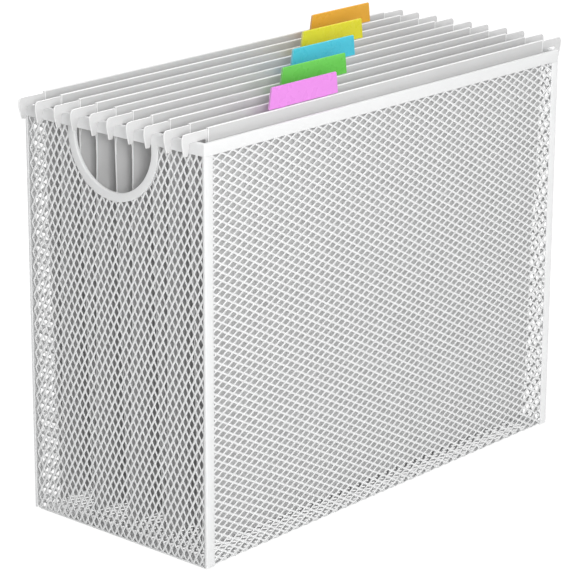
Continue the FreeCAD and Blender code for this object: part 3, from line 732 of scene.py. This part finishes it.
def ring_rings(side):
    """The section down one leg, round the half circle and up the other leg. The section's
    back lies on the inside of the hole."""
    outer_face = side * half_length
    rings = []
    for step in range(RING_STEPS + 1):
        angle = math.pi * (1 + step / RING_STEPS)
        rings.append([Vector((
            outer_face - side * inset,
            (ring_outer - height) * math.cos(angle),
            ring_centre + (ring_outer - height) * math.sin(angle)))
            for inset, height in ring_section])
    first, last = [[Vector((point.x, point.y, rim_under)) for point in ring]
                   for ring in (rings[0], rings[-1])]
    return [first] + rings + [last]


for name, side in ENDS.items():
    ring = new_piece("hand_ring_%s_sheet" % name, skin(ring_rings(side), False), sheet_coat)
    smooth_by_angle(ring)
    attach(ring, "box")
    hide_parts("hand_ring_" + name)
print("ring faces:", len(ring.data.polygons))

# %% The corner strips
STRIP_WIDTH = 6.5 * mm
STRIP_RETURN = 1.9 * mm


def strip_section():
    """L of sheet with a round bend, in from the corner along both faces."""
    points = arc(CORNER_BEND, CORNER_BEND, CORNER_BEND, 180, 270, 8)
    points += arc(STRIP_WIDTH - EDGE_ROUND, EDGE_ROUND, EDGE_ROUND, 270, 360, 2)
    points += [(STRIP_WIDTH, sheet_thick)]
    points += arc(CORNER_BEND, CORNER_BEND, CORNER_BEND - sheet_thick, 270, 180, 6)
    points += [(sheet_thick, STRIP_RETURN)]
    points += arc(EDGE_ROUND, STRIP_RETURN - EDGE_ROUND, EDGE_ROUND, 90, 180, 2)
    return points


for name_y, side_y in SIDES.items():
    for name_x, side_x in ENDS.items():
        node = "corner_strip_%s_%s" % (name_y, name_x)
        rings = [[Vector((side_x * (half_length - x), side_y * (half_width - y), end.z))
                  for x, y in strip_section()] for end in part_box(node)]
        strip = new_piece(node + "_sheet", skin(rings, False), sheet_coat)
        smooth_by_angle(strip)
        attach(strip, "box")
        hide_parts(node)
print("strip faces:", len(strip.data.polygons))

# %% The end flanges
FLANGE_THICK = 0.8 * mm
flange_in = half_length - FLANGE_LENGTH


def flange_section():
    """Flat along the floor, round the bend and a little up: distance from the middle, height."""
    centre_z = floor_middle + END_BEND
    outer, inner = END_BEND + FLANGE_THICK / 2, END_BEND - FLANGE_THICK / 2
    points = [(flange_in, centre_z - inner), (flange_in, centre_z - outer)]
    points += arc(fold_u, centre_z, outer, -90, 0, 6)
    points += arc(fold_u, centre_z, inner, 0, -90, 4)
    return points


flanges = bmesh.new()
for side in ENDS.values():
    rings = [[Vector((side * x, y, z)) for x, z in flange_section()] for y in (-fold_v, fold_v)]
    skin(rings, False, flanges)
flange_piece = new_piece("end_flanges", flanges, sheet_coat)
smooth_by_angle(flange_piece)
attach(flange_piece, "box")
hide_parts("floor_fold")
print("flange faces:", len(flange_piece.data.polygons))

# %% [markdown]
# ## The folders' board
# A hanging folder is one sheet of board. It is folded round at the bottom, its two leaves lean
# a little apart, and each leaf ends in a hem that wraps over a steel rail and is glued down
# on the inside. In the frame the bottom fold and the leaves are separate pieces, because the
# leaves swing when the rails slide along the rim.
#
# A leaf is made as a ribbon: the section of the sheet, from the bottom fold up, over the
# rail and down again, carried across the folder's width, and then thickened by Solidify. The
# leaf's own coordinates are easy to think in: "out" is the distance outwards from the
# folder's middle plane and "up" the distance from the bottom fold. Board is never quite flat,
# so the sheet gets a shallow bow that dies away at the fold and at the hem.


# %% From a leaf's own coordinates to the box
numbers = range(1, folder_count + 1)
leaves = [(number, side, "folder_%d_%s" % (number, word))
          for number in numbers for word, side in SIDES.items()]


def leaf_point(number, side, x, out, up):
    """A point on a leaf: side is -1 for the front leaf and 1 for the back one."""
    y = out * math.cos(lean) + up * math.sin(lean)
    z = up * math.cos(lean) - out * math.sin(lean)
    return Vector((x, folder_places[number - 1] + side * y, fold_height + z))


# %% Section of a leaf
LEAF_FOOT = 0.3 * mm
rail_foot = rail_along - rail_height / 2
hem_top = rail_along + rail_height / 2 + hem_slack
hem_low = rail_foot - 4 * mm
hem_shut = hem_low - 4 * mm
hem_end = hem_shut - 6 * mm
hem_radius = rail_thick / 2 + hem_slack + board_thick / 2
flap_out = rail_middle - hem_radius
glued_out = sheet_middle - board_thick
SCORES = [7 * mm, 13 * mm, 19 * mm]
SCORE_HALF = 0.5 * mm
SCORE_DEEP = 0.12 * mm
BOW_MARGIN = 3 * mm
BOW_STEPS = 24
slot_up = rail_foot - 2 * mm
slot_half_height = 0.85 * mm
slot_half_width = 3.5 * mm


def leaf_section():
    """Stations of the section as out, up and how freely the sheet bows there."""
    foot = [(sheet_middle, LEAF_FOOT)]
    for score in SCORES:
        foot += [(sheet_middle, score - SCORE_HALF), (sheet_middle - SCORE_DEEP, score),
                 (sheet_middle, score + SCORE_HALF)]
    free_low, free_high = SCORES[-1] + BOW_MARGIN, hem_end - BOW_MARGIN
    shares = [i / BOW_STEPS for i in range(BOW_STEPS + 1)]
    free = [(sheet_middle, free_low + share * (free_high - free_low),
             math.sin(math.pi * share) ** 2) for share in shares]
    hem = [(sheet_middle, up) for up in (hem_end, hem_shut, hem_low, rail_foot)]
    hem += arc(rail_middle, hem_top, hem_radius, 0, 180, 10)
    hem += [(flap_out, slot_up + slot_half_height), (flap_out, slot_up - slot_half_height),
            (flap_out, hem_low), (glued_out, hem_shut), (glued_out, hem_end)]
    return [point + (0.0,) for point in foot] + free + [point + (0.0,) for point in hem]


section = leaf_section()
print("stations across a leaf's section:", len(section))

# %% Stations across the folder, with the tab slots
tab_boxes = [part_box("folder_%d_tab" % number) for number in numbers]
tab_centres = [(low.x + high.x) / 2 for low, high in tab_boxes]
TONGUE_PLACE = 18 * mm
SLOT_CLEAR = 5 * mm
LEAF_COLUMNS = 24
slot_centres = [centre + hand * TONGUE_PLACE for centre in tab_centres for hand in (-1, 1)]


def leaf_columns(with_slots):
    """Places along X: an even spacing, and the sides of the slots in place of those near them."""
    columns = [leaf_half * (2 * i / LEAF_COLUMNS - 1) for i in range(LEAF_COLUMNS + 1)]
    if with_slots:
        sides = [centre + hand * slot_half_width for centre in slot_centres for hand in (-1, 1)]
        inner = [x for x in columns[1:-1]
                 if all(abs(x - centre) > SLOT_CLEAR for centre in slot_centres)]
        columns = sorted([columns[0]] + inner + sides + [columns[-1]])
    return columns


def in_slot(x, out, up):
    """True in the middle of a slot through the hem's inner flap."""
    beside = min(abs(x - centre) for centre in slot_centres)
    return (beside < slot_half_width and abs(up - slot_up) < slot_half_height
            and abs(out - flap_out) < 0.01 * mm)


# %% From rows of points to a sheet with a thickness
def sheet(builder, rows, skip=None):
    """Faces between neighbouring rows of points, except where skip says that one is open."""
    grid = [[builder.verts.new(point) for point in row] for row in rows]
    for i, (first, second) in enumerate(zip(grid, grid[1:])):
        for j in range(len(first) - 1):
            if not (skip and skip(i, j)):
                builder.faces.new((first[j], first[j + 1], second[j + 1], second[j]))


def sheet_piece(name, builder, material, thickness):
    """A piece from a sheet, which gets its thickness here, half to each side."""
    piece = new_piece(name, builder, material)
    solid = piece.modifiers.new("thickness", "SOLIDIFY")
    solid.thickness = thickness
    solid.offset = 0.0
    solid.use_even_offset = True
    apply_modifiers(piece)
    smooth_by_angle(piece, 50)
    return piece


# %% Leaves
BOW = 0.6 * mm
WAVE_ACROSS, WAVE_UP = 260 * mm, 190 * mm


def bow(number, side, x, up):
    """How far a leaf bulges outwards at a point: one long wave across and one upwards."""
    phase = 1.7 * number + 0.9 * side
    across = math.sin(2 * math.pi * x / WAVE_ACROSS + phase)
    upwards = math.sin(2 * math.pi * up / WAVE_UP + 2.3 * phase)
    return BOW * (0.55 * across + 0.45 * upwards)


def leaf(number, side, name):
    """A leaf of folder board with its hem; the front leaf has slots for the tab."""
    columns = leaf_columns(side < 0)

    def open_slot(i, j):
        out, up = [(section[i][k] + section[i + 1][k]) / 2 for k in (0, 1)]
        return side < 0 and in_slot((columns[j] + columns[j + 1]) / 2, out, up)

    builder = bmesh.new()
    sheet(builder, [[leaf_point(number, side, x, out + free * bow(number, side, x, up), up)
                     for x in columns] for out, up, free in section], open_slot)
    return sheet_piece(name + "_leaf_board", builder, boards[side], board_thick)


for number, side, name in leaves:
    piece = leaf(number, side, name)
    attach(piece, name)
    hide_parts(name + "_leaf")
print("faces of a leaf:", len(piece.data.polygons))


# %% Bottom folds
def bottom_fold(number):
    """The half-round bottom of a folder, which meets both leaves."""
    path = [(sheet_middle, LEAF_FOOT)] + arc(0, 0, sheet_middle, 0, -180, 12)
    path += [(-sheet_middle, LEAF_FOOT)]
    centre = folder_places[number - 1]
    builder = bmesh.new()
    sheet(builder, [[(x, centre + out, fold_height + up) for x in leaf_columns(False)]
                    for out, up in path])
    return sheet_piece("folder_%d_fold_board" % number, builder, boards[1], board_thick)


for number in numbers:
    piece = bottom_fold(number)
    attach(piece, "folder_%d" % number)
    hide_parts("folder_%d_crease" % number)

# %% [markdown]
# ## The rails
# A rail is stamped from steel strip in one stroke: a long bar with a hook at each end, whose
# finger tapers to a small nick at its tip. The outline is drawn once as corners with their
# radii, turned into arcs, and given the thickness of the strip and a fine bevel, because
# stamped and painted edges are never knife sharp.


# %% Outline of a rail
def round_corners(corners, steps=6):
    """Replaces each corner (x, y, radius) by an arc that touches both of its sides."""
    points = []
    for i, (x, y, radius) in enumerate(corners):
        here = Vector((x, y))
        before = (Vector(corners[i - 1][:2]) - here).normalized()
        after = (Vector(corners[(i + 1) % len(corners)][:2]) - here).normalized()
        half = before.angle(after) / 2
        centre = here + (before + after).normalized() * radius / math.sin(half)
        start = here + before * radius / math.tan(half) - centre
        stop = here + after * radius / math.tan(half) - centre
        sweep = start.angle_signed(stop)
        for step in range(steps + 1):
            points.append(centre + Matrix.Rotation(-sweep * step / steps, 2) @ start)
    return points


hook_end = rail_high.x
ARM_HEIGHT = 5.2 * mm
throat_end = half_length - 10.5 * mm
finger_inner = half_length + 4.9 * mm
finger_foot = (finger_inner + 1.1 * mm, hook_end - 1.8 * mm)
NICK = (0.45 * mm, 0.55 * mm)
RAIL_BEVEL = 0.28 * mm


def half_outline():
    """Corners of the right half of a rail, from the bottom up round the hook."""
    top_edge, bottom_edge = rail_height / 2, -rail_height / 2
    under = top_edge - ARM_HEIGHT
    nick_middle = finger_foot[0] + 0.62 * (finger_foot[1] - finger_foot[0])
    nick_wide, nick_deep = NICK
    return [
        (throat_end, bottom_edge, 0.8 * mm), (throat_end, under, 0.6 * mm),
        (finger_inner, under, 1.0 * mm), (finger_foot[0], bottom_edge, 0.7 * mm),
        (nick_middle - nick_wide, bottom_edge, 0.15 * mm),
        (nick_middle, bottom_edge + nick_deep, 0.15 * mm),
        (nick_middle + nick_wide, bottom_edge, 0.15 * mm),
        (finger_foot[1], bottom_edge, 0.6 * mm),
        (hook_end, under, 4.0 * mm), (hook_end, top_edge, 2.5 * mm),
    ]


right_half = half_outline()
left_half = [(-x, y, radius) for x, y, radius in reversed(right_half)]
rail_outline = round_corners(right_half + left_half)
print("points round a rail:", len(rail_outline))


# %% Rails
def rail(number, side, name):
    """The outline stood on the leaf's rail line, as thick as the strip, with fine bevels."""
    faces = [[leaf_point(number, side, point.x, rail_middle + across, rail_along + point.y)
              for point in rail_outline] for across in (-rail_thick / 2, rail_thick / 2)]
    piece = new_piece(name + "_rail_steel", skin(faces, False), rail_coat)
    soften = piece.modifiers.new("bevel", "BEVEL")
    soften.width = RAIL_BEVEL
    soften.segments = 3
    soften.limit_method = "ANGLE"
    soften.angle_limit = math.radians(50)
    apply_modifiers(piece)
    smooth_by_angle(piece, 35)
    return piece


for number, side, name in leaves:
    piece = rail(number, side, name)
    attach(piece, name)
    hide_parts(name + "_rail")
print("faces of a rail:", len(piece.data.polygons))

# %% [markdown]
# ## The tabs
# A tab is a strip of tinted plastic folded over at its top, so that a card slides in between
# its two walls. Two tongues at its foot hook through slots in the hem. It is made as a
# ribbon too: up the front wall, over the fold and down the back wall, narrower towards the top.

# %% Section of a tab
tab_foot = hem_top + hem_radius + board_thick / 2 + 0.4 * mm
tab_top = tab_foot + 12.4 * mm
TAB_WALL = 0.3 * mm
TAB_ROOM = 0.5 * mm
TAB_SLACK = 0.1 * mm
tab_low_half, tab_high_half = 29.0 * mm, 27.2 * mm
TAB_ROUND = 1.0 * mm
TAB_COLUMNS = 12
TONGUE_HALF = 3.0 * mm
# In millimetres, outwards from the sleeve's inner wall and up from the slot.
TONGUE_HOOK = [(0, 1.2), (0, 0.4), (0.12, 0), (0.4, -0.1), (0.9, -0.1)]
tab_middle = flap_out - board_thick / 2 - TAB_SLACK + TAB_ROOM / 2
wall_out = (TAB_ROOM + TAB_WALL) / 2


def tab_half_width(up):
    """Half the tab's width at a height: sloping sides with round upper corners."""
    share = (up - tab_foot) / (tab_top - tab_foot)
    width = tab_low_half + share * (tab_high_half - tab_low_half)
    into_corner = max(up - (tab_top - TAB_ROUND), 0.0) / TAB_ROUND
    return width - TAB_ROUND * (1 - math.sqrt(max(1 - into_corner ** 2, 0.0)))


def tab_path():
    """Front wall up, over the fold, and back wall down."""
    bend_centre = tab_top - TAB_WALL / 2 - wall_out
    ups = [tab_foot + share * (bend_centre - tab_foot) for share in (0, 0.25, 0.5, 0.75)]
    front = [(tab_middle + wall_out, up) for up in ups]
    over = arc(tab_middle, bend_centre, wall_out, 0, 180, 10)
    back = [(tab_middle - wall_out, up) for up in reversed(ups)]
    return front + over + back


# %% Tabs and labels
def ribbon(builder, number, path, half_width, centre, columns):
    """Adds a sheet along a path on the front leaf of a folder."""
    shares = [2 * i / columns - 1 for i in range(columns + 1)]
    sheet(builder, [[leaf_point(number, -1, centre + half_width(up) * share, out, up)
                     for share in shares] for out, up in path])


def tab(number):
    """A folded sleeve with two tongues that end in hooks."""
    builder = bmesh.new()
    centre = tab_centres[number - 1]
    ribbon(builder, number, tab_path(), tab_half_width, centre, TAB_COLUMNS)
    back_wall = tab_middle - wall_out
    tongue = [(back_wall, tab_foot)] + [(back_wall + out * mm, slot_up + up * mm)
                                        for out, up in TONGUE_HOOK]
    for hand in (-1, 1):
        ribbon(builder, number, tongue, lambda up: TONGUE_HALF, centre + hand * TONGUE_PLACE, 2)
    name = "folder_%d" % number
    return sheet_piece(name + "_tab_sleeve", builder, tab_plastics[name], TAB_WALL)


for number in numbers:
    name = "folder_%d" % number
    piece = tab(number)
    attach(piece, name + "_front")
    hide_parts(name + "_tab")
    label = frame["nodes"][name + "_label"]
    label.data.materials.clear()
    label.data.materials.append(card)
print("tabs at", [round(1000 * centre, 1) for centre in tab_centres], "mm")

# %% [markdown]
# ## Light and ground
# The photograph is a bright catalogue picture: pure white all round, the long face full in the
# light, the short face half in shade, and next to no shadow on the ground. A small lamp beside
# the camera is the key: it reaches both walls, and through their cells the folders' board. A
# wide soft lamp in front brightens the long face, one overhead gives the rim and the tops of
# the rails their white, and one behind shapes the far side. A dim even sky fills the rest.
#
# The white of the background is only for the camera and for reflections, and adds no light to
# the object. The floor is white in the same way: it glows where it is seen, a touch less near
# the box, and its own colour is so dark there that the shadow on it stays faint.

# %% Sky
SKY = 0.15
world = bpy.data.worlds.new("sky")
bpy.context.scene.world = world
world.use_nodes = True
sky = Tree(world.node_tree)
rays = sky.node("ShaderNodeLightPath")


def seen(tree, rays):
    """1 where the camera sees something, directly, in a gloss or through clear plastic."""
    kinds = [Value(tree, rays.outputs[kind]) for kind in (
        "Is Camera Ray", "Is Glossy Ray", "Is Transmission Ray")]
    return tree.maths("MAXIMUM", tree.maths("MAXIMUM", kinds[0], kinds[1]), kinds[2])


ambient = sky.out("ShaderNodeBackground", None, {"Color": grey(1.0), "Strength": SKY})
white = sky.out("ShaderNodeBackground", None, {"Color": grey(1.0), "Strength": 1.0})
backdrop = sky.out("ShaderNodeMixShader", None, {0: seen(sky, rays), 1: ambient, 2: white})
sky.node("ShaderNodeOutputWorld", None, {"Surface": backdrop})


# %% Lamps
BOX_MIDDLE = Vector((0.0, 0.0, 0.13))


def softbox(name, place, size, power):
    """A square lamp that faces the middle of the box."""
    lamp = bpy.data.lights.new(name, "AREA")
    lamp.shape = "SQUARE"
    lamp.size = size
    lamp.energy = power
    item = bpy.data.objects.new(name, lamp)
    item.location = place
    item.rotation_euler = (BOX_MIDDLE - Vector(place)).to_track_quat("-Z", "Y").to_euler()
    bpy.context.scene.collection.objects.link(item)


softbox("key", (-1.26, -1.39, 0.72), 0.6, 19.4)
softbox("front", (0.0, -1.6, 1.1), 1.2, 9.6)
softbox("overhead", (0.0, 0.0, 1.9), 1.4, 14.5)
softbox("back", (0.8, 1.6, 0.9), 1.2, 14.0)

# %% Floor
FLOOR_HALF = 3.0
GLOW_NEAR = 0.95
GLOW_REACH = 0.6
LIT_GREY, SEEN_GREY = 0.9, 0.12
builder = bmesh.new()
bmesh.ops.create_grid(builder, x_segments=1, y_segments=1, size=FLOOR_HALF)
floor_material, floor_nodes, floor_shader = new_finish("white_floor", 0.6, 0.0)
rays = floor_nodes.node("ShaderNodeLightPath")
is_seen = seen(floor_nodes, rays)
away = floor_nodes.out("ShaderNodeVectorMath", {"operation": "LENGTH"},
                       {0: place_of(floor_nodes)}, 1)
glow = floor_nodes.mix(away / GLOW_REACH, grey(GLOW_NEAR), grey(1.0))
floor_nodes.feed(floor_shader.inputs["Base Color"],
                 floor_nodes.mix(is_seen, grey(LIT_GREY), grey(SEEN_GREY)))
floor_nodes.feed(floor_shader.inputs["Emission Color"],
                 floor_nodes.mix(is_seen, grey(0.0), glow))
floor_shader.inputs["Emission Strength"].default_value = 1.0
floor = new_piece("floor", builder, floor_material)
print("floor %.0f m wide" % (2 * FLOOR_HALF))

# %% View settings
bpy.context.scene.view_settings.view_transform = "Standard"
